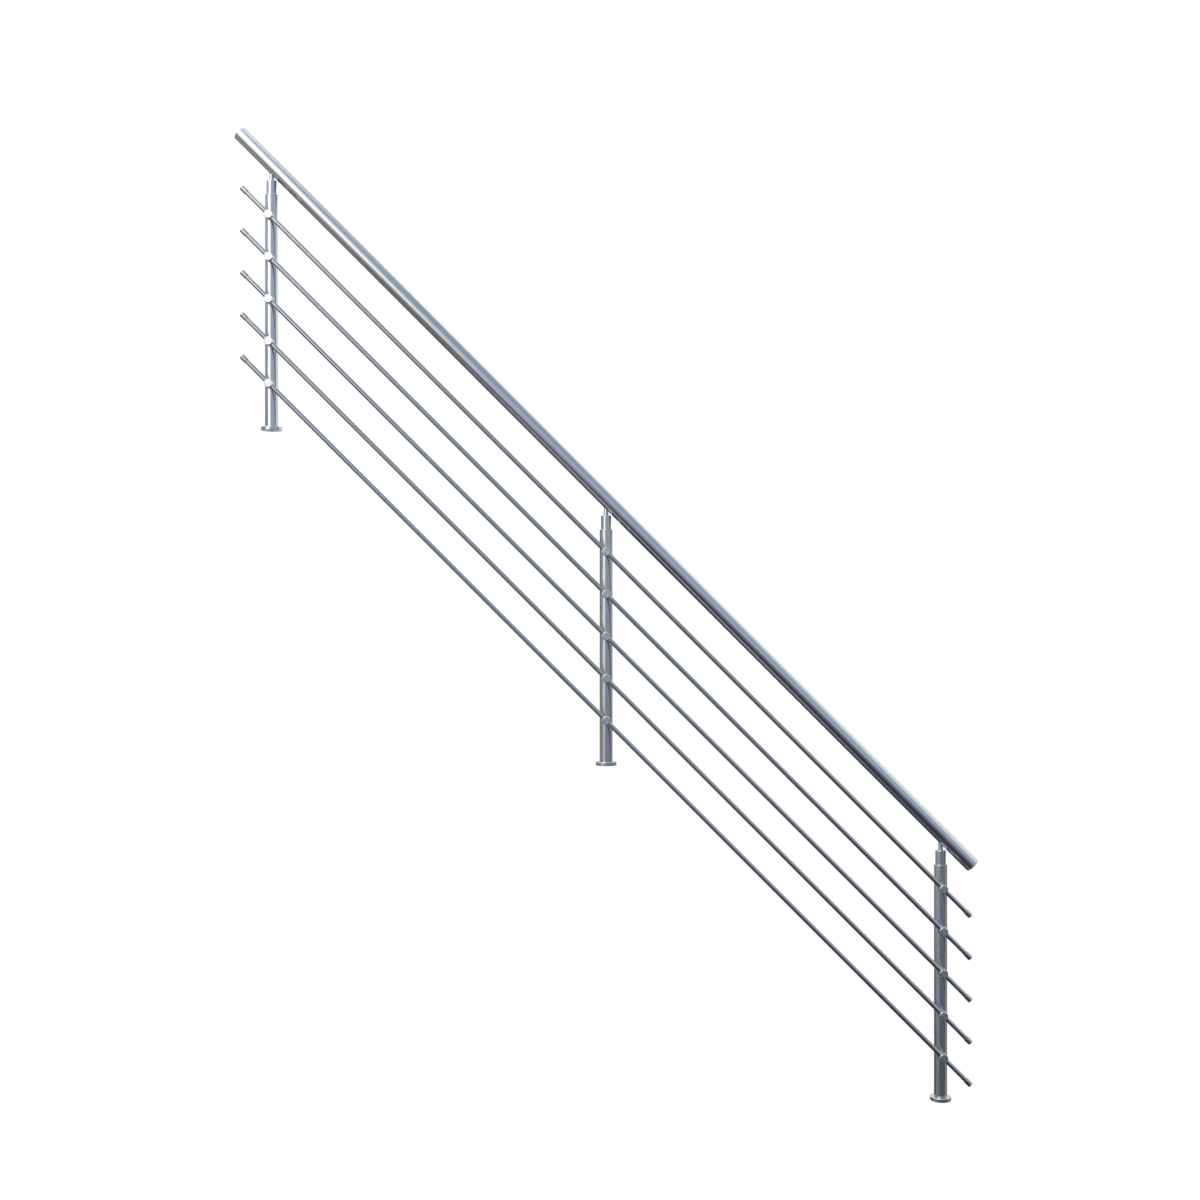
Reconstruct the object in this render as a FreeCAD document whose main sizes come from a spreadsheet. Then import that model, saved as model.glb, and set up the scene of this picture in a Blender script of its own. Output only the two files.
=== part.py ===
import FreeCAD, Part
import os
import Sketcher

# Stair balustrade panel: three tubular posts on a stair of two bays, a round handrail carried on
# pins above them, and five sloping rods clipped to the front of the posts. Stainless steel.
# Frame: +Z up, +X down the stair, the rods on the -Y side. The origin is the centre of the lower
# post's base, on the face that stands on the tread. Lengths are in millimetres.

DRIVING_SIZES = (
    ("bay_run", "1100", "level distance from one post to the next"),
    ("bay_rise", "1100", "rise from one post to the next"),
    ("post_height", "774.5", "underside of the base to the shoulder at the top of the post"),
    ("post_diameter", "42.4", "outside of the post tube"),
    ("post_wall", "2", "wall of the post tube"),
    ("base_diameter", "68", "round foot under each post"),
    ("base_thickness", "12", "visible height of the foot"),
    ("base_rim_chamfer", "2", "chamfer of the foot's upper rim"),
    ("base_spigot_length", "30", "plug of the foot inside the post tube"),
    ("stud_hole_diameter", "10.2", "tapped hole for the fixing stud, at its core"),
    ("stud_hole_depth", "30", "depth of that hole from the underside"),
    ("neck_diameter", "33.7", "slim neck above the post"),
    ("neck_length", "46", "shoulder to the top of the neck"),
    ("neck_collar_thickness", "3", "collar of the neck that lies on the post tube"),
    ("neck_spigot_length", "40", "plug of the neck inside the post tube"),
    ("pin_diameter", "15", "pin between the neck and the handrail"),
    ("pin_seat_depth", "20", "length of the pin inside the neck"),
    ("rail_clear", "20", "free length of the pin, on its axis"),
    ("rail_diameter", "48.3", "outside of the handrail tube"),
    ("rail_wall", "2", "wall of the handrail tube"),
    ("rail_overhang", "148", "handrail past the end posts, along the slope"),
    ("rail_cap_thickness", "5", "visible thickness of the handrail's end caps"),
    ("rail_cap_spigot_length", "20", "plug of the end cap inside the handrail"),
    ("rail_cap_spigot_wall", "3", "wall of that plug"),
    ("rod_diameter", "15", "outside of the infill rods"),
    ("rod_wall", "1.5", "wall of the infill rods"),
    ("rod_clear", "9.3", "gap between a rod and the face of the post"),
    ("rod_overhang", "126", "rods past the end posts, along the slope"),
    ("low_rod_height", "149.5", "underside of the base to the lowest rod, at the post's axis"),
    ("top_rod_drop", "74.2", "top rod below the post's shoulder, at the post's axis"),
    ("rod_cap_diameter", "18", "sleeve cap on each rod end"),
    ("rod_cap_length", "22", "length of the sleeve cap"),
    ("rod_cap_end_wall", "3", "closed end of the sleeve cap"),
    ("holder_diameter", "28", "round rod holder"),
    ("holder_nose_wall", "5.5", "metal in front of the rod in its holder"),
    ("fit_gap", "0.2", "gap all round in bores, sockets and coped seats"),
)

ROD_COUNT = 5
POSTS = (("lower", 0), ("middle", 1), ("upper", 2))

# Derived lengths and angles, as expressions on the sheet.
STAIR_ANGLE = "atan(Sizes.bay_rise / Sizes.bay_run)"
BAY_SLOPE = "sqrt(Sizes.bay_run ^ 2 + Sizes.bay_rise ^ 2)"
POST_RADIUS = "Sizes.post_diameter / 2"
POST_BORE = "(Sizes.post_diameter / 2 - Sizes.post_wall)"
PLUG_RADIUS = "(Sizes.post_diameter / 2 - Sizes.post_wall - Sizes.fit_gap)"
NECK_TOP = "(Sizes.post_height + Sizes.neck_length)"
RAIL_RADIUS = "Sizes.rail_diameter / 2"
RAIL_BORE = "(Sizes.rail_diameter / 2 - Sizes.rail_wall)"
RAIL_HEIGHT = "(%s + Sizes.rail_clear + %s / cos(%s))" % (NECK_TOP, RAIL_RADIUS, STAIR_ANGLE)
RAIL_END = "(%s + Sizes.rail_overhang)" % BAY_SLOPE
ROD_RADIUS = "Sizes.rod_diameter / 2"
ROD_FRONT = "(Sizes.post_diameter / 2 + Sizes.rod_clear + Sizes.rod_diameter / 2)"
ROD_END = "(%s + Sizes.rod_overhang)" % BAY_SLOPE
ROD_SPREAD = "(Sizes.post_height - Sizes.top_rod_drop - Sizes.low_rod_height)"

doc = FreeCAD.newDocument("stair_balustrade_panel")
sheet = doc.addObject("Spreadsheet::Sheet", "Sizes")
for row, (alias, number, note) in enumerate(DRIVING_SIZES, start=1):
    sheet.set("A%d" % row, alias)
    sheet.set("B%d" % row, number)
    sheet.setAlias("B%d" % row, alias)
    sheet.set("C%d" % row, note)
doc.recompute()

subparts = []


def worth(expression):
    """Gives an expression's present value as a plain number."""
    result = sheet.evalExpression(expression)
    return float(getattr(result, "Value", result))


def new_body(label):
    """Starts a sub-part under its own label."""
    body = doc.addObject("PartDesign::Body", label)
    body.Label = label
    subparts.append(body)
    return body


def new_sketch(body, role, name):
    """Puts an empty sketch on one of the body's own origin planes."""
    sketch = body.newObject("Sketcher::SketchObject", "%s_%s" % (body.Label, name))
    plane = [feature for feature in body.Origin.OriginFeatures if feature.Role == role][0]
    sketch.AttachmentSupport = [(plane, "")]
    sketch.MapMode = "FlatFace"
    return sketch


def bind(sketch, constraint, expression):
    """Adds a dimension to a sketch and ties it to the sheet."""
    index = sketch.addConstraint(constraint)
    if expression != "0":
        sketch.setExpression("Constraints[%d]" % index, expression)


def draw_circle(sketch, radius, up="0"):
    """Draws a circle on the sketch's vertical axis."""
    centre = FreeCAD.Vector(0, worth(up), 0)
    circle = sketch.addGeometry(Part.Circle(centre, FreeCAD.Vector(0, 0, 1), worth(radius)), False)
    if up == "0":
        sketch.addConstraint(Sketcher.Constraint("Coincident", circle, 3, -1, 1))
    else:
        sketch.addConstraint(Sketcher.Constraint("PointOnObject", circle, 3, -2))
        bind(sketch, Sketcher.Constraint("DistanceY", -1, 1, circle, 3, worth(up)), up)
    bind(sketch, Sketcher.Constraint("Radius", circle, worth(radius)), radius)


def draw_outline(sketch, corners):
    """Draws a closed outline through corners given as pairs of expressions."""
    points = [FreeCAD.Vector(worth(across), worth(up), 0) for across, up in corners]
    count = len(points)
    for index in range(count):
        side = Part.LineSegment(points[index], points[(index + 1) % count])
        sketch.addGeometry(side, False)
    for index in range(count):
        sketch.addConstraint(Sketcher.Constraint("Coincident", index, 2, (index + 1) % count, 1))
    for index, (across, up) in enumerate(corners):
        place = points[index]
        bind(sketch, Sketcher.Constraint("DistanceX", -1, 1, index, 1, place.x), across)
        bind(sketch, Sketcher.Constraint("DistanceY", -1, 1, index, 1, place.y), up)


def turn(body, corners):
    """Turns an outline of (radius, height) corners about the body's Z axis."""
    sketch = new_sketch(body, "XZ_Plane", "outline")
    draw_outline(sketch, corners)
    turned = body.newObject("PartDesign::Revolution", "%s_turned" % body.Label)
    turned.Profile = sketch
    turned.ReferenceAxis = (sketch, ["V_Axis"])
    turned.Angle = 360
    doc.recompute()


def draw_tube(body, outer, inner, length, sides):
    """Extrudes a ring into a tube along the body's Z axis."""
    sketch = new_sketch(body, "XY_Plane", "section")
    draw_circle(sketch, outer)
    if inner:
        draw_circle(sketch, inner)
    tube = body.newObject("PartDesign::Pad", "%s_tube" % body.Label)
    tube.Profile = sketch
    tube.SideType = sides
    tube.setExpression("Length", length)
    doc.recompute()


def bore_through(body, sketch, name):
    """Cuts a sketch's circle right through the body, both ways."""
    before = body.Shape.Volume
    hole = body.newObject("PartDesign::Pocket", "%s_%s" % (body.Label, name))
    hole.Profile = sketch
    hole.Type = "ThroughAll"
    hole.SideType = "Symmetric"
    doc.recompute()
    if body.Shape.Volume >= before:
        raise RuntimeError("%s: the %s cuts nothing" % (body.Label, name))


def stand_at_post(body, step, height):
    """Places a body on a post's axis, at a height above that post's base."""
    body.setExpression("Placement.Base.x", "-%d * Sizes.bay_run" % step)
    body.setExpression("Placement.Base.z", "%d * Sizes.bay_rise + %s" % (step, height))


def lay_on_slope(body, front, height, downhill=True):
    """Places a body at the middle post with its Z axis along the slope, down or up the stair."""
    if downhill:
        turn_axis = FreeCAD.Vector(0, 1, 0)
        turn_angle = "90 deg + %s" % STAIR_ANGLE
    else:
        turn_axis = FreeCAD.Vector(0, -1, 0)
        turn_angle = "90 deg - %s" % STAIR_ANGLE
    body.Placement = FreeCAD.Placement(FreeCAD.Vector(), FreeCAD.Rotation(turn_axis, worth(turn_angle)))
    body.setExpression("Placement.Rotation.Angle", turn_angle)
    body.setExpression("Placement.Base.x", "-Sizes.bay_run")
    body.setExpression("Placement.Base.y", "-%s" % front)
    body.setExpression("Placement.Base.z", "Sizes.bay_rise + %s" % height)


def rod_height(number):
    """Height of a rod above the base at a post's axis. Rod 1 is the top one."""
    return "(Sizes.low_rod_height + %s * %d / %d)" % (ROD_SPREAD, ROD_COUNT - number, ROD_COUNT - 1)


# Feet: a round turned disc with a plug that enters the post tube, tapped from below for a stud.
for place, step in POSTS:
    foot = new_body("base_%s" % place)
    spigot_top = "(Sizes.base_thickness + Sizes.base_spigot_length)"
    stud_radius = "Sizes.stud_hole_diameter / 2"
    base_radius = "Sizes.base_diameter / 2"
    turn(foot, (
        (stud_radius, "0"),
        (base_radius, "0"),
        (base_radius, "Sizes.base_thickness - Sizes.base_rim_chamfer"),
        ("%s - Sizes.base_rim_chamfer" % base_radius, "Sizes.base_thickness"),
        (PLUG_RADIUS, "Sizes.base_thickness"),
        (PLUG_RADIUS, spigot_top),
        ("0", spigot_top),
        ("0", "Sizes.stud_hole_depth"),
        (stud_radius, "Sizes.stud_hole_depth"),
    ))
    stand_at_post(foot, step, "0")

# Posts: round tubes that stand on the feet.
for place, step in POSTS:
    post = new_body("post_%s" % place)
    tube_length = "Sizes.post_height - Sizes.neck_collar_thickness - Sizes.base_thickness"
    draw_tube(post, POST_RADIUS, POST_BORE, tube_length, "One side")
    stand_at_post(post, step, "Sizes.base_thickness")

# Necks: turned reducers plugged into the post tubes, with a collar flush with the post.
for place, step in POSTS:
    neck = new_body("neck_%s" % place)
    neck_radius = "Sizes.neck_diameter / 2"
    socket_radius = "(Sizes.pin_diameter / 2 + Sizes.fit_gap)"
    neck_rim = "(Sizes.neck_collar_thickness + Sizes.neck_length)"
    socket_floor = "(Sizes.neck_collar_thickness + Sizes.neck_length - Sizes.pin_seat_depth)"
    turn(neck, (
        ("0", "-Sizes.neck_spigot_length"),
        (PLUG_RADIUS, "-Sizes.neck_spigot_length"),
        (PLUG_RADIUS, "0"),
        (POST_RADIUS, "0"),
        (POST_RADIUS, "Sizes.neck_collar_thickness"),
        (neck_radius, "Sizes.neck_collar_thickness"),
        (neck_radius, neck_rim),
        (socket_radius, neck_rim),
        (socket_radius, socket_floor),
        ("0", socket_floor),
    ))
    stand_at_post(neck, step, "Sizes.post_height - Sizes.neck_collar_thickness")

# Pins: bars seated in the necks, their upper ends coped to the underside of the sloping handrail.
for place, step in POSTS:
    pin = new_body("pin_%s" % place)
    pin_foot = "(%s - Sizes.pin_seat_depth)" % NECK_TOP
    rail_above_foot = "(%s - %s)" % (RAIL_HEIGHT, pin_foot)
    draw_tube(pin, "Sizes.pin_diameter / 2", None, rail_above_foot, "One side")
    rail_section = new_sketch(pin, "YZ_Plane", "rail_section")
    draw_circle(rail_section, "%s + Sizes.fit_gap" % RAIL_RADIUS)
    rail_section.AttachmentOffset = FreeCAD.Placement(
        FreeCAD.Vector(0, worth(rail_above_foot), 0),
        FreeCAD.Rotation(FreeCAD.Vector(1, 0, 0), worth(STAIR_ANGLE)))
    rail_section.setExpression("AttachmentOffset.Base.y", rail_above_foot)
    rail_section.setExpression("AttachmentOffset.Rotation.Angle", STAIR_ANGLE)
    bore_through(pin, rail_section, "cope")
    stand_at_post(pin, step, pin_foot)

# Handrail: one straight round tube along the slope, closed by a plug cap at each end.
rail = new_body("handrail_tube")
rail_seat = "(%s - Sizes.rail_cap_thickness)" % RAIL_END
draw_tube(rail, RAIL_RADIUS, RAIL_BORE, "2 * %s" % rail_seat, "Symmetric")
lay_on_slope(rail, "0", RAIL_HEIGHT)

for place, downhill in (("upper", False), ("lower", True)):
    rail_cap = new_body("handrail_cap_%s" % place)
    plug_outside = "(%s - Sizes.fit_gap)" % RAIL_BORE
    plug_inside = "(%s - Sizes.fit_gap - Sizes.rail_cap_spigot_wall)" % RAIL_BORE
    plug_start = "(%s - Sizes.rail_cap_spigot_length)" % rail_seat
    turn(rail_cap, (
        (plug_inside, plug_start),
        (plug_outside, plug_start),
        (plug_outside, rail_seat),
        (RAIL_RADIUS, rail_seat),
        (RAIL_RADIUS, RAIL_END),
        ("0", RAIL_END),
        ("0", rail_seat),
        (plug_inside, rail_seat),
    ))
    lay_on_slope(rail_cap, "0", RAIL_HEIGHT, downhill)

# Infill rods: slim tubes along the slope in front of the posts, each end in a sleeve cap.
for number in range(1, ROD_COUNT + 1):
    rod = new_body("rod_%d" % number)
    rod_bore = "(%s - Sizes.rod_wall)" % ROD_RADIUS
    rod_seat = "(%s - Sizes.rod_cap_end_wall)" % ROD_END
    draw_tube(rod, ROD_RADIUS, rod_bore, "2 * %s" % rod_seat, "Symmetric")
    lay_on_slope(rod, ROD_FRONT, rod_height(number))

    for place, downhill in (("upper", False), ("lower", True)):
        rod_cap = new_body("rod_%d_cap_%s" % (number, place))
        cap_radius = "Sizes.rod_cap_diameter / 2"
        sleeve_radius = "(%s + Sizes.fit_gap)" % ROD_RADIUS
        sleeve_mouth = "(%s - Sizes.rod_cap_length)" % ROD_END
        turn(rod_cap, (
            (sleeve_radius, sleeve_mouth),
            (cap_radius, sleeve_mouth),
            (cap_radius, ROD_END),
            ("0", ROD_END),
            ("0", rod_seat),
            (sleeve_radius, rod_seat),
        ))
        lay_on_slope(rod_cap, ROD_FRONT, rod_height(number), downhill)

# Rod holders: turned studs that stand out of the posts, coped to the tube behind and
# cross-drilled at the angle of the stair for the rod.
for place, step in POSTS:
    for number in range(1, ROD_COUNT + 1):
        holder = new_body("holder_%s_%d" % (place, number))
        holder_radius = "Sizes.holder_diameter / 2"
        holder_front = "(%s + %s + Sizes.holder_nose_wall)" % (ROD_FRONT, ROD_RADIUS)
        turn(holder, (
            ("0", "0"),
            (holder_radius, "0"),
            (holder_radius, holder_front),
            ("0", holder_front),
        ))
        post_section = new_sketch(holder, "XZ_Plane", "post_section")
        draw_circle(post_section, "%s + Sizes.fit_gap" % POST_RADIUS)
        bore_through(holder, post_section, "cope")
        rod_section = new_sketch(holder, "YZ_Plane", "rod_section")
        draw_circle(rod_section, "%s + Sizes.fit_gap" % ROD_RADIUS, ROD_FRONT)
        rod_section.AttachmentOffset = FreeCAD.Placement(
            FreeCAD.Vector(), FreeCAD.Rotation(FreeCAD.Vector(0, -1, 0), worth(STAIR_ANGLE)))
        rod_section.setExpression("AttachmentOffset.Rotation.Angle", STAIR_ANGLE)
        bore_through(holder, rod_section, "rod_bore")
        holder.Placement = FreeCAD.Placement(
            FreeCAD.Vector(), FreeCAD.Rotation(FreeCAD.Vector(1, 0, 0), 90))
        stand_at_post(holder, step, rod_height(number))

doc.recompute()

for item in doc.Objects:
    if "Invalid" in item.State or "Error" in item.State:
        raise RuntimeError("%s failed: %s" % (item.Label, item.State))
for body in subparts:
    if body.Shape.isNull() or not body.Shape.isValid():
        raise RuntimeError("%s has no valid shape" % body.Label)
    if len(body.Shape.Solids) != 1:
        raise RuntimeError("%s has %d solids" % (body.Label, len(body.Shape.Solids)))

os.makedirs("parts", exist_ok=True)
for body in subparts:
    body.Shape.exportStep("parts/%s.step" % body.Label)
print("%d sub-parts written" % len(subparts))
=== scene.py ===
import math

import bmesh
import bpy
from mathutils import Matrix, Vector


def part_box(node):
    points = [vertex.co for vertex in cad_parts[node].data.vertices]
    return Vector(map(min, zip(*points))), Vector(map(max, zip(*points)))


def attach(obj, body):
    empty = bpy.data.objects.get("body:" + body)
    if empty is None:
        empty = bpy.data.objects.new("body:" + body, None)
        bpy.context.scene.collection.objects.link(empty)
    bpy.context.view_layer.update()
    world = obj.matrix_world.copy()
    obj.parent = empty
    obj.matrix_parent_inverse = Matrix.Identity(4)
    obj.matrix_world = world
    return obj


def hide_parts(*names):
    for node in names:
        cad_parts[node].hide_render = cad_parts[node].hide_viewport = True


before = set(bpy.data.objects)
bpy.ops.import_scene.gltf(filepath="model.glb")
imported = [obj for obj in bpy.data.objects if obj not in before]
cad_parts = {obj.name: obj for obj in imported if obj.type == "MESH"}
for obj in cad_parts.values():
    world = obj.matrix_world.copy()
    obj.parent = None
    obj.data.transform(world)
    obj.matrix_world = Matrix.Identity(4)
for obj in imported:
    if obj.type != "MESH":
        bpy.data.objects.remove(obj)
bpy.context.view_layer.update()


# Feet: a turned disc of satin stainless steel under each post, its rim rounded over.
# The plug on top enters the post tube, and a tapped hole from below takes the hidden fixing stud.
FOOT_RADIUS = 0.034
FOOT_RIM_ROUNDING = 0.002
FOOT_SOLE_ROUNDING = 0.0008
FOOT_PLUG_LENGTH = 0.030
STUD_HOLE_RADIUS = 0.0051
STUD_HOLE_DEPTH = 0.030
POST_RADIUS = 0.0212
POST_WALL = 0.002
FIT_GAP = 0.0002
SHADE_MARGIN = 0.0003
ROUNDING_STEPS = 5
TURNED_SIDES = 96
MERGE_DISTANCE = 1e-6
SHARP_ANGLE = math.radians(40)
PLACES = ("lower", "middle", "upper")


def turn_outline(corners, sides):
    """Turns an outline about Z. Each corner is a radius, a height and the rounding of that corner.

    The map "turning" holds the way walked along the outline in metres, and the angle in radians."""
    bm = bmesh.new()
    walk = bm.verts.layers.float.new("walk")
    closed = corners[0][0] > 0
    line = []
    roundings = []
    for index, (radius, height, rounding) in enumerate(corners):
        corner = Vector((radius, 0, height))
        if not rounding:
            line.append(bm.verts.new(corner))
            continue
        reach = rounding + SHADE_MARGIN
        before = corners[index - 1]
        after = corners[(index + 1) % len(corners)]
        to_before = Vector((before[0], 0, before[1])) - corner
        to_after = Vector((after[0], 0, after[1])) - corner
        line.append(bm.verts.new(corner + reach * to_before.normalized()))
        line.append(bm.verts.new(corner))
        roundings.append((line[-1], rounding))
        line.append(bm.verts.new(corner + reach * to_after.normalized()))
    for start, end in zip(line, line[1:]):
        bm.edges.new((start, end))
    last_edge = bm.edges.new((line[-1], line[0])) if closed else None
    for vert, rounding in roundings:
        bmesh.ops.bevel(bm, geom=[vert], offset=rounding, offset_type="OFFSET", affect="VERTICES",
                        segments=ROUNDING_STEPS, profile=0.5, material=-1)

    spot = line[0]
    came_by = last_edge
    walked = 0.0
    while True:
        spot[walk] = walked
        ways = [edge for edge in spot.link_edges if edge != came_by and edge != last_edge]
        if not ways:
            break
        came_by = ways[0]
        walked += came_by.calc_length()
        spot = came_by.other_vert(spot)

    bmesh.ops.spin(bm, geom=bm.verts[:] + bm.edges[:], axis=(0, 0, 1), cent=(0, 0, 0), dvec=(0, 0, 0),
                   angle=math.tau, steps=sides, use_merge=True)
    bmesh.ops.remove_doubles(bm, verts=bm.verts[:], dist=MERGE_DISTANCE)
    bmesh.ops.recalc_face_normals(bm, faces=bm.faces[:])
    turning = bm.loops.layers.uv.new("turning")
    for face in bm.faces:
        middle = face.calc_center_median()
        facing = math.atan2(middle.y, middle.x)
        for loop in face.loops:
            point = loop.vert.co
            swing = 0.0
            if point.xy.length > MERGE_DISTANCE:
                swing = -middle.xy.angle_signed(point.xy)
            loop[turning].uv = (loop.vert[walk], facing + swing)
    return bm


# A smaller arc value draws the marks out farther round the piece.
GRIND_SPREAD = 0.9
MARK_ARC = 1.6
MARK_DETAIL = 3.0
MARK_DEPTH = 0.00002
MARK_RELIEF = 0.25
BELT_BAND_PITCHES = 24
BELT_BAND_ARC = 0.5
BELT_BAND_DETAIL = 2.0
SHEEN_NOISE = (0.3, 0.7)
SHEEN_SWING = 0.03
BELT_WEAR = 0.04


def ground_steel(name, colours, roughness, mark_pitch):
    """Satin stainless steel, ground so that the marks run round the piece."""
    steel = bpy.data.materials.new(name)
    steel.use_nodes = True
    nodes = steel.node_tree.nodes
    links = steel.node_tree.links
    shader = nodes["Principled BSDF"]
    shader.inputs["Metallic"].default_value = 1.0
    shader.inputs["Anisotropic"].default_value = GRIND_SPREAD

    tangent = nodes.new("ShaderNodeTangent")
    tangent.direction_type = "UV_MAP"
    tangent.uv_map = "turning"
    links.new(tangent.outputs["Tangent"], shader.inputs["Tangent"])

    turning = nodes.new("ShaderNodeUVMap")
    turning.uv_map = "turning"
    split = nodes.new("ShaderNodeSeparateXYZ")
    links.new(turning.outputs["UV"], split.inputs["Vector"])
    across = nodes.new("ShaderNodeMath")
    across.operation = "COSINE"
    links.new(split.outputs["Y"], across.inputs[0])
    deep = nodes.new("ShaderNodeMath")
    deep.operation = "SINE"
    links.new(split.outputs["Y"], deep.inputs[0])
    round_piece = nodes.new("ShaderNodeCombineXYZ")
    links.new(split.outputs["X"], round_piece.inputs["X"])
    links.new(across.outputs["Value"], round_piece.inputs["Y"])
    links.new(deep.outputs["Value"], round_piece.inputs["Z"])

    def marks_at(pitch, arc, detail):
        """Noise drawn out round the piece, at a pitch along it."""
        stretch = nodes.new("ShaderNodeMapping")
        stretch.inputs["Scale"].default_value = (1.0 / pitch, arc, arc)
        links.new(round_piece.outputs["Vector"], stretch.inputs["Vector"])
        noise = nodes.new("ShaderNodeTexNoise")
        noise.inputs["Scale"].default_value = 1.0
        noise.inputs["Detail"].default_value = detail
        links.new(stretch.outputs["Vector"], noise.inputs["Vector"])
        return noise.outputs["Fac"]

    fine_marks = marks_at(mark_pitch, MARK_ARC, MARK_DETAIL)
    belt_bands = marks_at(mark_pitch * BELT_BAND_PITCHES, BELT_BAND_ARC, BELT_BAND_DETAIL)

    tint = nodes.new("ShaderNodeMix")
    tint.data_type = "RGBA"
    tint.inputs["A"].default_value = (*colours[0], 1.0)
    tint.inputs["B"].default_value = (*colours[1], 1.0)
    links.new(belt_bands, tint.inputs["Factor"])
    links.new(tint.outputs["Result"], shader.inputs["Base Color"])

    sheen = nodes.new("ShaderNodeMapRange")
    sheen.inputs["From Min"].default_value = SHEEN_NOISE[0]
    sheen.inputs["From Max"].default_value = SHEEN_NOISE[1]
    sheen.inputs["To Min"].default_value = roughness - SHEEN_SWING
    sheen.inputs["To Max"].default_value = roughness + SHEEN_SWING
    links.new(fine_marks, sheen.inputs["Value"])
    worn = nodes.new("ShaderNodeMath")
    worn.operation = "MULTIPLY_ADD"
    worn.inputs[1].default_value = BELT_WEAR
    links.new(belt_bands, worn.inputs[0])
    links.new(sheen.outputs["Result"], worn.inputs[2])
    links.new(worn.outputs["Value"], shader.inputs["Roughness"])

    scratch = nodes.new("ShaderNodeBump")
    scratch.inputs["Strength"].default_value = MARK_RELIEF
    scratch.inputs["Distance"].default_value = MARK_DEPTH
    links.new(fine_marks, scratch.inputs["Height"])
    links.new(scratch.outputs["Normal"], shader.inputs["Normal"])
    return steel


def set_in_place(bm, name, place, finish):
    """Makes a turned shape a piece of the panel that stands for the node of the same name."""
    bm.transform(place)
    mesh = bpy.data.meshes.new(name)
    bm.to_mesh(mesh)
    bm.free()
    mesh.shade_smooth()
    mesh.set_sharp_from_angle(angle=SHARP_ANGLE)
    mesh.materials.append(finish)
    piece = bpy.data.objects.new(name + ".ground", mesh)
    bpy.context.scene.collection.objects.link(piece)
    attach(piece, "root")
    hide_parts(name)


def post_axis(place):
    """The centre of a foot's underside."""
    low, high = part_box("base_" + place)
    return Vector(((low.x + high.x) / 2, (low.y + high.y) / 2, low.z))


POST_COLOURS = ((0.60, 0.61, 0.63), (0.64, 0.65, 0.67))
POST_ROUGHNESS = 0.16
POST_MARK_PITCH = 0.0011

post_steel = ground_steel("post_steel", POST_COLOURS, POST_ROUGHNESS, POST_MARK_PITCH)
foot_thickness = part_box("post_lower")[0].z - post_axis("lower").z
plug_radius = POST_RADIUS - POST_WALL - FIT_GAP
foot_outline = (
    (0, STUD_HOLE_DEPTH, 0),
    (STUD_HOLE_RADIUS, STUD_HOLE_DEPTH, 0),
    (STUD_HOLE_RADIUS, 0, FOOT_SOLE_ROUNDING),
    (FOOT_RADIUS, 0, FOOT_SOLE_ROUNDING),
    (FOOT_RADIUS, foot_thickness, FOOT_RIM_ROUNDING),
    (plug_radius, foot_thickness, 0),
    (plug_radius, foot_thickness + FOOT_PLUG_LENGTH, FOOT_SOLE_ROUNDING),
    (0, foot_thickness + FOOT_PLUG_LENGTH, 0),
)
for place in PLACES:
    foot = turn_outline(foot_outline, TURNED_SIDES)
    set_in_place(foot, "base_" + place, Matrix.Translation(post_axis(place)), post_steel)


# Posts: standard round stainless tube, sawn square, the ends broken by hand.
# Each stands on its foot and is glued or welded to the plug inside.
POST_END_ROUNDING = 0.0005

post_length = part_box("post_lower")[1].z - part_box("post_lower")[0].z
post_outline = (
    (POST_RADIUS - POST_WALL, 0, 0),
    (POST_RADIUS, 0, POST_END_ROUNDING),
    (POST_RADIUS, post_length, POST_END_ROUNDING),
    (POST_RADIUS - POST_WALL, post_length, 0),
)
for place in PLACES:
    post = turn_outline(post_outline, TURNED_SIDES)
    foot_top = post_axis(place) + Vector((0, 0, foot_thickness))
    set_in_place(post, "post_" + place, Matrix.Translation(foot_top), post_steel)


# Necks: turned reducers of solid stainless steel, plugged into the tops of the posts.
# A thin collar lies flush with the post tube, and the slim neck has a socket for the pin.
NECK_RADIUS = 0.01685
NECK_RIM_ROUNDING = 0.002
COLLAR_THICKNESS = 0.003
COLLAR_ROUNDING = 0.0014
NECK_PLUG_LENGTH = 0.040
PIN_RADIUS = 0.0075
PIN_SEAT_DEPTH = 0.020

neck_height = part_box("neck_lower")[1].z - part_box("post_lower")[1].z
neck_outline = (
    (0, -NECK_PLUG_LENGTH, 0),
    (plug_radius, -NECK_PLUG_LENGTH, COLLAR_ROUNDING),
    (plug_radius, 0, 0),
    (POST_RADIUS, 0, POST_END_ROUNDING),
    (POST_RADIUS, COLLAR_THICKNESS, COLLAR_ROUNDING),
    (NECK_RADIUS, COLLAR_THICKNESS, 0),
    (NECK_RADIUS, neck_height, NECK_RIM_ROUNDING),
    (PIN_RADIUS + FIT_GAP, neck_height, POST_END_ROUNDING),
    (PIN_RADIUS + FIT_GAP, neck_height - PIN_SEAT_DEPTH, 0),
    (0, neck_height - PIN_SEAT_DEPTH, 0),
)


def post_top(place):
    """The centre of a post's upper end."""
    return post_axis(place) + Vector((0, 0, foot_thickness + post_length))


for place in PLACES:
    neck = turn_outline(neck_outline, TURNED_SIDES)
    set_in_place(neck, "neck_" + place, Matrix.Translation(post_top(place)), post_steel)


# Pins: round stainless bar, seated in the necks. The upper ends are coped to the round of the
# sloping handrail and hold it from below.
PIN_SIDES = 64
RAIL_RADIUS = 0.02415
RAIL_CUTTER_REACH = 4 * RAIL_RADIUS
CUTTER_SIDES = 128
FITTING_COLOURS = ((0.70, 0.71, 0.73), (0.74, 0.75, 0.77))
FITTING_ROUGHNESS = 0.20
FITTING_MARK_PITCH = 0.0008

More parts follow.
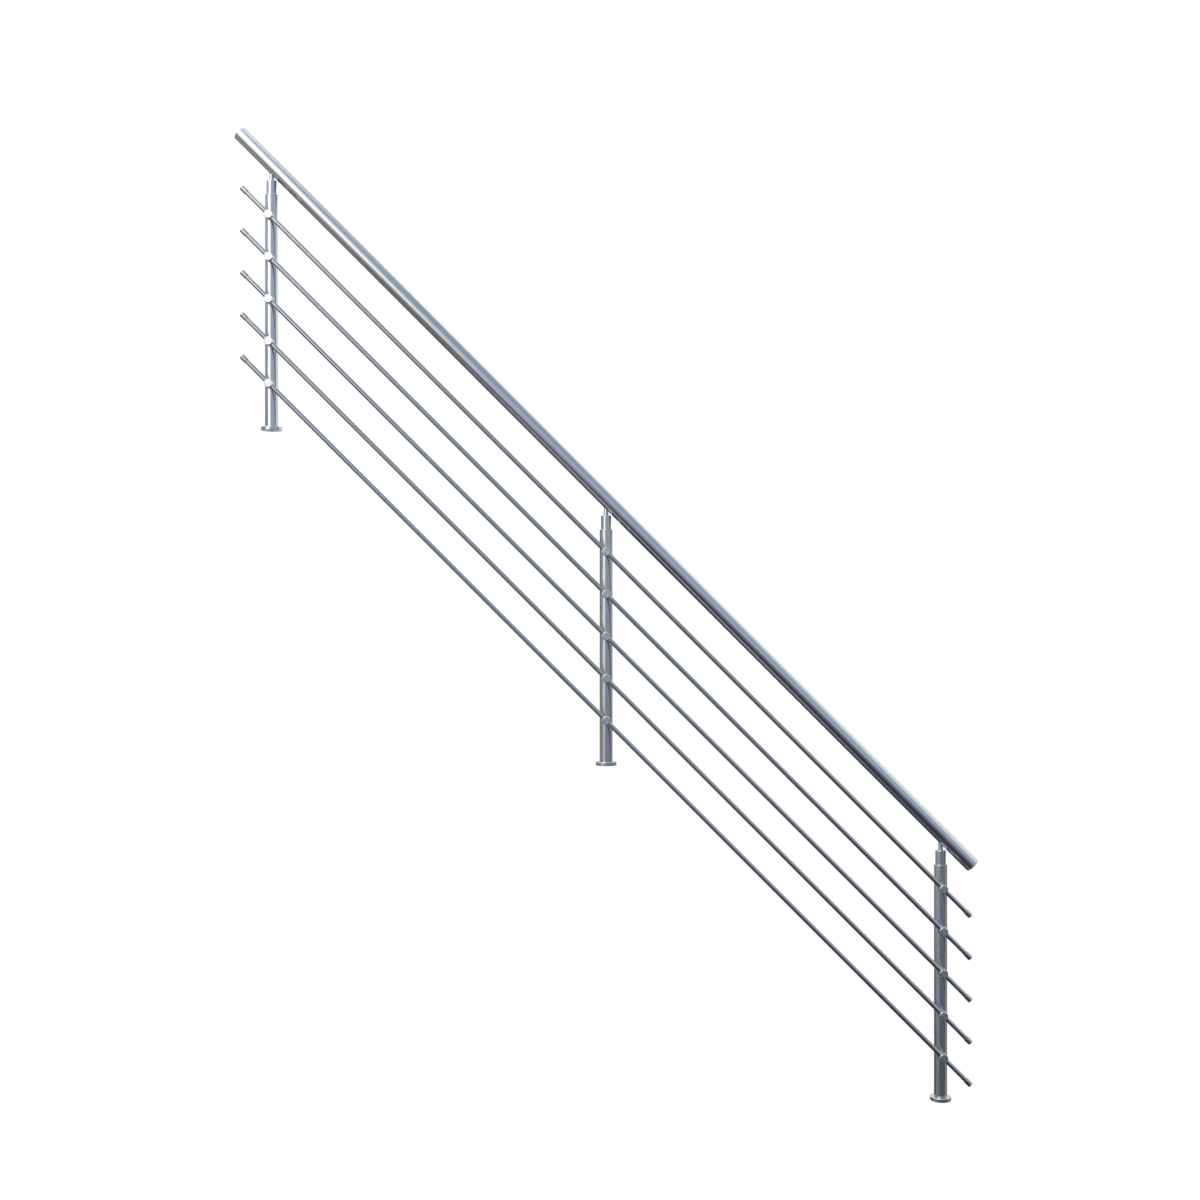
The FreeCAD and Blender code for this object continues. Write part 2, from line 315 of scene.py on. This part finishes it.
fitting_steel = ground_steel("fitting_steel", FITTING_COLOURS, FITTING_ROUGHNESS, FITTING_MARK_PITCH)
stair_run = post_axis("lower").x - post_axis("upper").x
stair_rise = post_axis("upper").z - post_axis("lower").z
stair_angle = math.atan2(stair_rise, stair_run)
# These lay a piece that was turned about Z along the slope, its top end towards the named way.
downhill = Matrix.Rotation(math.pi / 2 + stair_angle, 4, "Y")
uphill = Matrix.Rotation(stair_angle - math.pi / 2, 4, "Y")


def middle_of(node):
    """The centre of a node's box, which is the middle of a straight tube."""
    low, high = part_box(node)
    return (low + high) / 2


def cut_away(bm, cutters):
    """Cuts shapes out of a shape, as a saw or a drill does."""
    meshes = []
    objects = []
    for index, shape in enumerate([bm, *cutters]):
        meshes.append(bpy.data.meshes.new("blank_%d" % index))
        shape.to_mesh(meshes[-1])
        shape.free()
        objects.append(bpy.data.objects.new("blank_%d" % index, meshes[-1]))
        bpy.context.scene.collection.objects.link(objects[-1])
    for cutter in objects[1:]:
        cut = objects[0].modifiers.new("cut", "BOOLEAN")
        cut.operation = "DIFFERENCE"
        cut.solver = "EXACT"
        cut.object = cutter
    sight = bpy.context.evaluated_depsgraph_get()
    result = bmesh.new()
    result.from_object(objects[0], sight)
    for blank, mesh in zip(objects, meshes):
        bpy.data.objects.remove(blank)
        bpy.data.meshes.remove(mesh)
    bmesh.ops.remove_doubles(result, verts=result.verts[:], dist=MERGE_DISTANCE)
    return result


def plain_bar(radius, start, end, sides):
    """A round bar along Z with sharp ends."""
    return turn_outline(((0, start, 0), (radius, start, 0), (radius, end, 0), (0, end, 0)), sides)


rail_middle = middle_of("handrail_tube")
rail_height = rail_middle.z - post_top("middle").z
for place in PLACES:
    pin = plain_bar(PIN_RADIUS, neck_height - PIN_SEAT_DEPTH, rail_height, PIN_SIDES)
    rail_round = plain_bar(RAIL_RADIUS + FIT_GAP, -RAIL_CUTTER_REACH, RAIL_CUTTER_REACH, CUTTER_SIDES)
    rail_round.transform(Matrix.Translation((0, 0, rail_height)) @ downhill)
    pin = cut_away(pin, [rail_round])
    set_in_place(pin, "pin_" + place, Matrix.Translation(post_top(place)), fitting_steel)


# Handrail: one straight round stainless tube along the slope, ground round with a belt.
# It lies on the three pins.
RAIL_WALL = 0.002
RAIL_END_ROUNDING = 0.0004
RAIL_SIDES = 128
RAIL_COLOURS = ((0.59, 0.60, 0.62), (0.65, 0.66, 0.68))
RAIL_ROUGHNESS = 0.12
RAIL_MARK_PITCH = 0.0013

rail_steel = ground_steel("handrail_steel", RAIL_COLOURS, RAIL_ROUGHNESS, RAIL_MARK_PITCH)


def slope_length(node, radius):
    """The length of a round tube that lies along the slope."""
    low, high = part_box(node)
    return (high.x - low.x - 2 * radius * math.sin(stair_angle)) / math.cos(stair_angle)


rail_length = slope_length("handrail_tube", RAIL_RADIUS)
rail_outline = (
    (RAIL_RADIUS - RAIL_WALL, -rail_length / 2, 0),
    (RAIL_RADIUS, -rail_length / 2, RAIL_END_ROUNDING),
    (RAIL_RADIUS, rail_length / 2, RAIL_END_ROUNDING),
    (RAIL_RADIUS - RAIL_WALL, rail_length / 2, 0),
)
rail = turn_outline(rail_outline, RAIL_SIDES)
set_in_place(rail, "handrail_tube", Matrix.Translation(rail_middle) @ downhill,
             rail_steel)


# Handrail caps: turned stainless plugs driven into both ends of the handrail, flush with the
# tube outside and rounded at the rim.
RAIL_CAP_THICKNESS = 0.005
RAIL_CAP_ROUNDING = 0.002
RAIL_CAP_PLUG_LENGTH = 0.020
RAIL_CAP_PLUG_WALL = 0.003

cap_plug_radius = RAIL_RADIUS - RAIL_WALL - FIT_GAP
rail_cap_outline = (
    (0, 0, 0),
    (cap_plug_radius - RAIL_CAP_PLUG_WALL, 0, 0),
    (cap_plug_radius - RAIL_CAP_PLUG_WALL, -RAIL_CAP_PLUG_LENGTH, 0),
    (cap_plug_radius, -RAIL_CAP_PLUG_LENGTH, 0),
    (cap_plug_radius, 0, 0),
    (RAIL_RADIUS, 0, RAIL_END_ROUNDING),
    (RAIL_RADIUS, RAIL_CAP_THICKNESS, RAIL_CAP_ROUNDING),
    (0, RAIL_CAP_THICKNESS, 0),
)
for place, way in (("upper", uphill), ("lower", downhill)):
    rail_cap = turn_outline(rail_cap_outline, TURNED_SIDES)
    rail_end = rail_middle + way.to_3x3() @ Vector((0, 0, rail_length / 2))
    set_in_place(rail_cap, "handrail_cap_" + place, Matrix.Translation(rail_end) @ way,
                 rail_steel)


# Infill rods: five slim stainless tubes along the slope, in front of the posts.
# They pass through the rod holders.
ROD_RADIUS = 0.0075
ROD_WALL = 0.0015
ROD_SIDES = 64
ROD_COUNT = 5
ROD_COLOURS = ((0.46, 0.47, 0.49), (0.51, 0.52, 0.54))
ROD_ROUGHNESS = 0.12
ROD_MARK_PITCH = 0.0010

rod_steel = ground_steel("rod_steel", ROD_COLOURS, ROD_ROUGHNESS, ROD_MARK_PITCH)
rod_length = slope_length("rod_1", ROD_RADIUS)
rod_outline = (
    (ROD_RADIUS - ROD_WALL, -rod_length / 2, 0),
    (ROD_RADIUS, -rod_length / 2, 0),
    (ROD_RADIUS, rod_length / 2, 0),
    (ROD_RADIUS - ROD_WALL, rod_length / 2, 0),
)
for number in range(1, ROD_COUNT + 1):
    rod = turn_outline(rod_outline, ROD_SIDES)
    rod_middle = Matrix.Translation(middle_of("rod_%d" % number))
    set_in_place(rod, "rod_%d" % number, rod_middle @ downhill, rod_steel)


# Rod caps: turned stainless sleeves pushed over both ends of every rod, closed at the end.
# The end is rounded, and the mouth is broken.
ROD_CAP_RADIUS = 0.009
ROD_CAP_LENGTH = 0.022
ROD_CAP_END_WALL = 0.003
ROD_CAP_ROUNDING = 0.0016
ROD_CAP_MOUTH_ROUNDING = 0.0004

rod_cap_outline = (
    (0, 0, 0),
    (ROD_RADIUS + FIT_GAP, 0, 0),
    (ROD_RADIUS + FIT_GAP, ROD_CAP_END_WALL - ROD_CAP_LENGTH, 0),
    (ROD_CAP_RADIUS, ROD_CAP_END_WALL - ROD_CAP_LENGTH, ROD_CAP_MOUTH_ROUNDING),
    (ROD_CAP_RADIUS, ROD_CAP_END_WALL, ROD_CAP_ROUNDING),
    (0, ROD_CAP_END_WALL, 0),
)
for number in range(1, ROD_COUNT + 1):
    for place, way in (("upper", uphill), ("lower", downhill)):
        rod_cap = turn_outline(rod_cap_outline, ROD_SIDES)
        rod_end = middle_of("rod_%d" % number) + way.to_3x3() @ Vector((0, 0, rod_length / 2))
        set_in_place(rod_cap, "rod_%d_cap_%s" % (number, place), Matrix.Translation(rod_end) @ way,
                     rod_steel)


# Rod holders: turned stainless studs on the front of the posts, one for each rod at each post.
# They are coped to the post tube behind and cross-drilled at the slope of the stair.
HOLDER_RADIUS = 0.014
HOLDER_ROUNDING = 0.0018
HOLDER_CUT_REACH = 3 * HOLDER_RADIUS

forward = Matrix.Rotation(math.pi / 2, 4, "X")
holder_front = post_axis("lower").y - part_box("holder_lower_1")[0].y
rod_front = post_axis("lower").y - middle_of("rod_1").y
holder_outline = (
    (0, 0, 0),
    (HOLDER_RADIUS, 0, 0),
    (HOLDER_RADIUS, holder_front, HOLDER_ROUNDING),
    (0, holder_front, 0),
)
for place in PLACES:
    for number in range(1, ROD_COUNT + 1):
        name = "holder_%s_%d" % (place, number)
        holder = turn_outline(holder_outline, TURNED_SIDES)
        post_round = plain_bar(POST_RADIUS + FIT_GAP, -HOLDER_CUT_REACH, HOLDER_CUT_REACH, CUTTER_SIDES)
        rod_bore = plain_bar(ROD_RADIUS + FIT_GAP, -HOLDER_CUT_REACH, HOLDER_CUT_REACH, ROD_SIDES)
        post_round.transform(forward.inverted())
        rod_bore.transform(forward.inverted() @ Matrix.Translation((0, -rod_front, 0)) @ downhill)
        holder = cut_away(holder, [post_round, rod_bore])
        holder_seat = Vector((post_axis(place).x, post_axis(place).y, middle_of(name).z))
        set_in_place(holder, name, Matrix.Translation(holder_seat) @ forward,
                     fitting_steel)


# Floor: a plain pale floor under the lower foot. It shows white to the camera and keeps the
# panel's soft shadow.
FLOOR_SIZE = 80.0
FLOOR_COLOUR = (0.95, 0.95, 0.95, 1.0)
FLOOR_GLOW_SHARE = 0.85

scene = bpy.context.scene
panel_heart = middle_of("rod_3")


def stage_piece(bm, name, material):
    """Puts a shape on the stage."""
    mesh = bpy.data.meshes.new(name)
    bm.to_mesh(mesh)
    bm.free()
    mesh.materials.append(material)
    prop = bpy.data.objects.new(name, mesh)
    scene.collection.objects.link(prop)
    return prop


floor_paint = bpy.data.materials.new("pale_floor")
floor_paint.use_nodes = True
tree = floor_paint.node_tree
tree.nodes.remove(tree.nodes["Principled BSDF"])
matt = tree.nodes.new("ShaderNodeBsdfDiffuse")
matt.inputs["Color"].default_value = FLOOR_COLOUR
glow = tree.nodes.new("ShaderNodeEmission")
path = tree.nodes.new("ShaderNodeLightPath")
mirrored = tree.nodes.new("ShaderNodeMath")
mirrored.operation = "MAXIMUM"
tree.links.new(path.outputs["Is Glossy Ray"], mirrored.inputs[0])
tree.links.new(path.outputs["Is Transmission Ray"], mirrored.inputs[1])
seen = tree.nodes.new("ShaderNodeMath")
seen.operation = "MAXIMUM"
tree.links.new(path.outputs["Is Camera Ray"], seen.inputs[0])
tree.links.new(mirrored.outputs["Value"], seen.inputs[1])
share = tree.nodes.new("ShaderNodeMath")
share.operation = "MULTIPLY"
share.inputs[1].default_value = FLOOR_GLOW_SHARE
tree.links.new(seen.outputs["Value"], share.inputs[0])
blend = tree.nodes.new("ShaderNodeMixShader")
tree.links.new(share.outputs["Value"], blend.inputs["Fac"])
tree.links.new(matt.outputs["BSDF"], blend.inputs[1])
tree.links.new(glow.outputs["Emission"], blend.inputs[2])
tree.links.new(blend.outputs["Shader"], tree.nodes["Material Output"].inputs["Surface"])
floor = bmesh.new()
bmesh.ops.create_grid(floor, x_segments=1, y_segments=1, size=FLOOR_SIZE / 2,
                      matrix=Matrix.Translation((panel_heart.x, panel_heart.y, 0)))
floor = stage_piece(floor, "floor", floor_paint)
floor.visible_glossy = False


# Tent: glowing cloth all round the stage, which only the steel mirrors, painted with the reflections
# the steel
#  shows. It is painted grey-blue in front over dark painted ground, with a painted softbox glow to the
#  left of the camera, dark over painted warm ground at the far left, a painted white glow behind on the
#  right and a painted bright glow overhead, and has a painted patch of pale ground low down on the
#  left.
TENT_RADIUS = 12.0
TENT_SIDES = 64
TENT_RINGS = 32
# Each stop is a lift in degrees above the level, and the cloth's colour there.
# A painted bright glow straight overhead, shared by every cloth, which puts painted highlights on the
# steel's rounded edges.
PAINTED_OVERHEAD_GLOW = (85, (1.8, 1.8, 1.8))
FRONT_CLOTH = (
    (-60, (0.06, 0.07, 0.08)),
    (-30, (0.04, 0.05, 0.065)),
    (-14, (0.17, 0.20, 0.28)),
    (-4, (0.29, 0.34, 0.41)),
    (8, (0.49, 0.57, 0.65)),
    (22, (0.48, 0.58, 0.71)),
    (45, (0.34, 0.45, 0.63)),
    (64, (0.37, 0.43, 0.53)),
    PAINTED_OVERHEAD_GLOW,
)
# Painted softbox glow: the softbox lamp is hidden from the steel, and this glowing patch of cloth
# stands in for its reflection.
PAINTED_SOFTBOX_GLOW = (
    (-16, (0.18, 0.20, 0.25)),
    (-5, (0.72, 0.75, 0.76)),
    (6, (1.70, 1.70, 1.65)),
    (30, (2.00, 2.00, 1.95)),
    (60, (1.80, 1.80, 1.75)),
    PAINTED_OVERHEAD_GLOW,
)
LEFT_CLOTH = (
    (-50, (0.03, 0.03, 0.03)),
    (-30, (0.07, 0.07, 0.07)),
    (-22, (0.09, 0.09, 0.08)),
    (-16, (0.45, 0.43, 0.39)),
    (4, (0.20, 0.19, 0.18)),
    (18, (0.54, 0.60, 0.70)),
    (34, (0.66, 0.69, 0.74)),
    PAINTED_OVERHEAD_GLOW,
)
BACK_CLOTH = (
    (-30, (0.33, 0.32, 0.30)),
    (-4, (0.28, 0.30, 0.35)),
    (8, (0.83, 0.83, 0.82)),
    (20, (1.14, 1.15, 1.14)),
    (40, (0.96, 1.01, 1.10)),
    (62, (0.71, 0.74, 0.81)),
    PAINTED_OVERHEAD_GLOW,
)
# A painted patch of pale ground in the glowing cloth, which the steel shows as a painted reflection low
# down on the left.
PAINTED_PALE_GROUND_COLOUR = (0.65, 0.59, 0.53)
PAINTED_PALE_GROUND = ((-85, PAINTED_PALE_GROUND_COLOUR), (-5, PAINTED_PALE_GROUND_COLOUR))
# Each cloth but the front one hangs towards a way. Its seam starts and is full at these shares.
PAINTED_SOFTBOX_WAY = Vector((-0.89, 0.03, 0.45))
PAINTED_SOFTBOX_SEAM = (0.18, 0.41)
LEFT_WAY = Vector((-0.96, 0.28, 0.0))
LEFT_SEAM = (0.56, 0.71)
BACK_WAY = Vector((0.77, 0.64, 0.0))
BACK_SEAM = (0.37, 0.71)
PAINTED_GROUND_WAY = Vector((-0.70, -0.12, -0.70))
PAINTED_GROUND_SEAM = (0.93, 0.98)

painted_reflection_tent = bpy.data.materials.new("painted_reflection_tent")
painted_reflection_tent.use_nodes = True
tree = painted_reflection_tent.node_tree
tree.nodes.remove(tree.nodes["Principled BSDF"])
cloth_spot = tree.nodes.new("ShaderNodeTexCoord")
from_heart = tree.nodes.new("ShaderNodeVectorMath")
from_heart.operation = "SUBTRACT"
from_heart.inputs[1].default_value = panel_heart
tree.links.new(cloth_spot.outputs["Object"], from_heart.inputs[0])
bearing = tree.nodes.new("ShaderNodeVectorMath")
bearing.operation = "NORMALIZE"
tree.links.new(from_heart.outputs["Vector"], bearing.inputs[0])
lift = tree.nodes.new("ShaderNodeSeparateXYZ")
tree.links.new(bearing.outputs["Vector"], lift.inputs["Vector"])
lift_share = tree.nodes.new("ShaderNodeMapRange")
lift_share.inputs["From Min"].default_value = -1.0
tree.links.new(lift.outputs["Z"], lift_share.inputs["Value"])


def cloth_by_lift(stops):
    """The cloth's colour from bottom to top."""
    ramp = tree.nodes.new("ShaderNodeValToRGB")
    while len(ramp.color_ramp.elements) < len(stops):
        ramp.color_ramp.elements.new(1.0)
    for element, (degrees, colour) in zip(ramp.color_ramp.elements, stops):
        element.position = (math.sin(math.radians(degrees)) + 1) / 2
        element.color = (*colour, 1.0)
    tree.links.new(lift_share.outputs["Result"], ramp.inputs["Fac"])
    return ramp.outputs["Color"]


def share_towards(way, starts, full):
    """How far the cloth stands towards a way, from 0 to 1."""
    towards = tree.nodes.new("ShaderNodeVectorMath")
    towards.operation = "DOT_PRODUCT"
    towards.inputs[1].default_value = way
    tree.links.new(bearing.outputs["Vector"], towards.inputs[0])
    turned = tree.nodes.new("ShaderNodeMapRange")
    turned.interpolation_type = "SMOOTHSTEP"
    turned.inputs["From Min"].default_value = starts
    turned.inputs["From Max"].default_value = full
    tree.links.new(towards.outputs["Value"], turned.inputs["Value"])
    return turned.outputs["Result"]


def sewn(cloth, other_cloth, share):
    """Two cloths that run into each other."""
    seam = tree.nodes.new("ShaderNodeMix")
    seam.data_type = "RGBA"
    tree.links.new(share, seam.inputs["Factor"])
    tree.links.new(cloth, seam.inputs["A"])
    tree.links.new(other_cloth, seam.inputs["B"])
    return seam.outputs["Result"]


cloth = cloth_by_lift(FRONT_CLOTH)
cloth = sewn(cloth, cloth_by_lift(PAINTED_SOFTBOX_GLOW), share_towards(PAINTED_SOFTBOX_WAY, *PAINTED_SOFTBOX_SEAM))
cloth = sewn(cloth, cloth_by_lift(LEFT_CLOTH), share_towards(LEFT_WAY, *LEFT_SEAM))
cloth = sewn(cloth, cloth_by_lift(BACK_CLOTH), share_towards(BACK_WAY, *BACK_SEAM))
cloth = sewn(cloth, cloth_by_lift(PAINTED_PALE_GROUND), share_towards(PAINTED_GROUND_WAY, *PAINTED_GROUND_SEAM))
glow = tree.nodes.new("ShaderNodeEmission")
tree.links.new(cloth, glow.inputs["Color"])
tree.links.new(glow.outputs["Emission"], tree.nodes["Material Output"].inputs["Surface"])
tent = bmesh.new()
bmesh.ops.create_uvsphere(tent, u_segments=TENT_SIDES, v_segments=TENT_RINGS, radius=TENT_RADIUS,
                          matrix=Matrix.Translation(panel_heart))
tent = stage_piece(tent, "tent", painted_reflection_tent)
tent.visible_camera = False
tent.visible_diffuse = False
tent.visible_transmission = False
tent.visible_shadow = False


# Lights: a large softbox above and to the left of the camera gives the floor's shadow its side.
# The world gives even light from all round.
SOFTBOX_SIZE = 6.0
SOFTBOX_BRIGHTNESS = 1.6
SOFTBOX_DISTANCE = 9.0
SOFTBOX_BEARING = -35
SOFTBOX_LIFT = 25


def out_from_panel(bearing, lift, distance):
    """A place on the stage. Bearing 0 is towards the camera, and more is to the right, in degrees."""
    bearing = math.radians(bearing)
    lift = math.radians(lift)
    level = math.cos(lift)
    way = Vector((math.sin(bearing) * level, -math.cos(bearing) * level, math.sin(lift)))
    return panel_heart + distance * way


softbox = bpy.data.lights.new("softbox", "AREA")
softbox.shape = "SQUARE"
softbox.size = SOFTBOX_SIZE
softbox.energy = SOFTBOX_BRIGHTNESS * math.pi * SOFTBOX_SIZE ** 2
softbox_stand = bpy.data.objects.new("softbox", softbox)
softbox_stand.location = out_from_panel(SOFTBOX_BEARING, SOFTBOX_LIFT, SOFTBOX_DISTANCE)
towards_panel = panel_heart - softbox_stand.location
softbox_stand.rotation_euler = towards_panel.to_track_quat("-Z", "Y").to_euler()
softbox_stand.visible_camera = False
softbox_stand.visible_glossy = False
scene.collection.objects.link(softbox_stand)

world = bpy.data.worlds.new("white_surround")
world.use_nodes = True
world.node_tree.nodes["Background"].inputs["Color"].default_value = (1.0, 1.0, 1.0, 1.0)
scene.world = world
scene.view_settings.view_transform = "Standard"


# Camera: level and square to the panel, a little left of the middle post and about half a metre
# above the middle foot.
CAMERA_LENS = 45.0
CAMERA_SENSOR = 36.0
CAMERA_DISTANCE = 4.933
CAMERA_LEFT_OF_POST = 0.020
CAMERA_ABOVE_FOOT = 0.543

camera = bpy.data.cameras.new("camera")
camera.lens = CAMERA_LENS
camera.sensor_width = CAMERA_SENSOR
tripod = bpy.data.objects.new("camera", camera)
camera_place = Vector((-CAMERA_LEFT_OF_POST, -CAMERA_DISTANCE, CAMERA_ABOVE_FOOT))
tripod.location = post_axis("middle") + camera_place
tripod.rotation_euler = (math.pi / 2, 0, 0)
scene.collection.objects.link(tripod)
scene.camera = tripod
